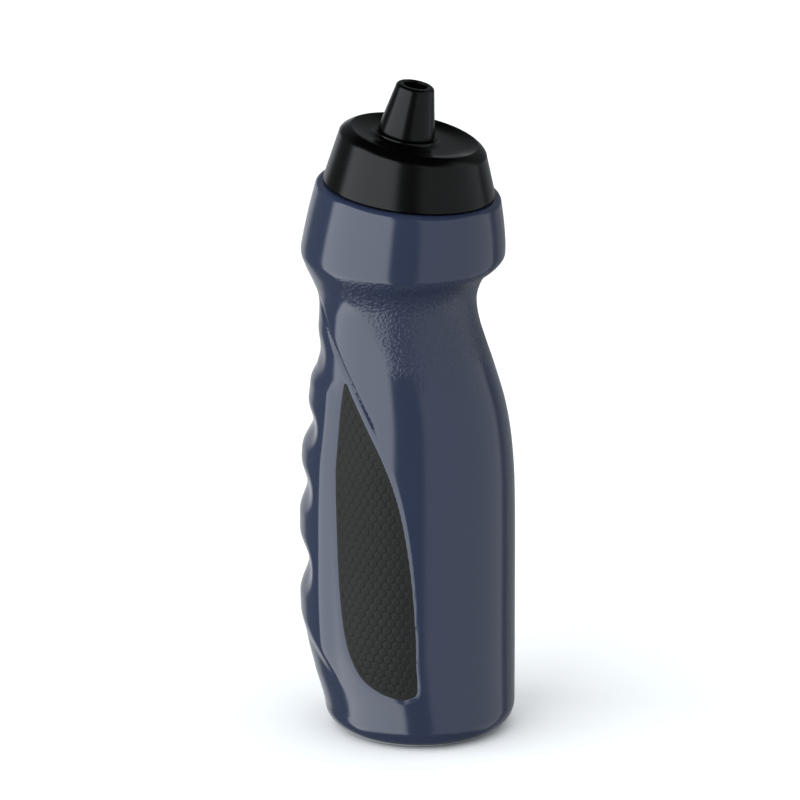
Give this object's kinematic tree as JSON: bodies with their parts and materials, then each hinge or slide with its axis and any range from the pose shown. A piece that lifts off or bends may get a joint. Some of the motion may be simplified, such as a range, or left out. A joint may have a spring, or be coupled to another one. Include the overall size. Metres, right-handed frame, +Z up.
{
  "type": "sports squeeze bottle",
  "caption": "Squeeze bottle with finger grooves, two rubber grip pads, a slanted screw cap and a push-pull drinking nozzle.",
  "frame": {"origin": "on the standing plane, under the middle of the body", "axes": "+Z up along the body, -X the finger side, +X the palm side, the grip pads face -Y and +Y"},
  "size_m": [0.0786, 0.0732, 0.2462],
  "materials": {
    "body_plastic": "gloss, navy blue, with a fine leather grain below the collar",
    "grip_rubber": "matt black, moulded with small hexagons",
    "cap_plastic": "gloss black",
    "nozzle_plastic": "gloss black",
    "valve_plastic": "satin black",
    "seal_rubber": "satin grey silicone",
    "ring_rubber": "satin black"
  },
  "bodies": {
    "bottle": {"bottle_body": "body_plastic", "grip_pad_left": "grip_rubber", "grip_pad_right": "grip_rubber"},
    "seal": {"cap_seal": "seal_rubber"},
    "cap": {"screw_cap": "cap_plastic", "valve_post": "valve_plastic", "nozzle_ring": "ring_rubber"},
    "spout": {"nozzle": "nozzle_plastic"}
  },
  "joints": [
    {"name": "cap_lift", "type": "slide", "parent": "bottle", "child": "seal", "axis": [0.1045, 0, 0.9945], "range_m": [0, 0.0126]},
    {"name": "cap_turn", "type": "hinge", "parent": "seal", "child": "cap", "pos_m": [0.0005, 0, 0.2062], "axis": [0.1045, 0, 0.9945], "range_deg": [0, 1080]},
    {"name": "nozzle_pull", "type": "slide", "parent": "cap", "child": "spout", "axis": [0.1822, 0, 0.9833], "range_m": [0, 0.0065]}
  ],
  "couplings": [
    {"joint": "cap_lift", "follows": "cap_turn", "m_per_rad": 0.00066845}
  ]
}
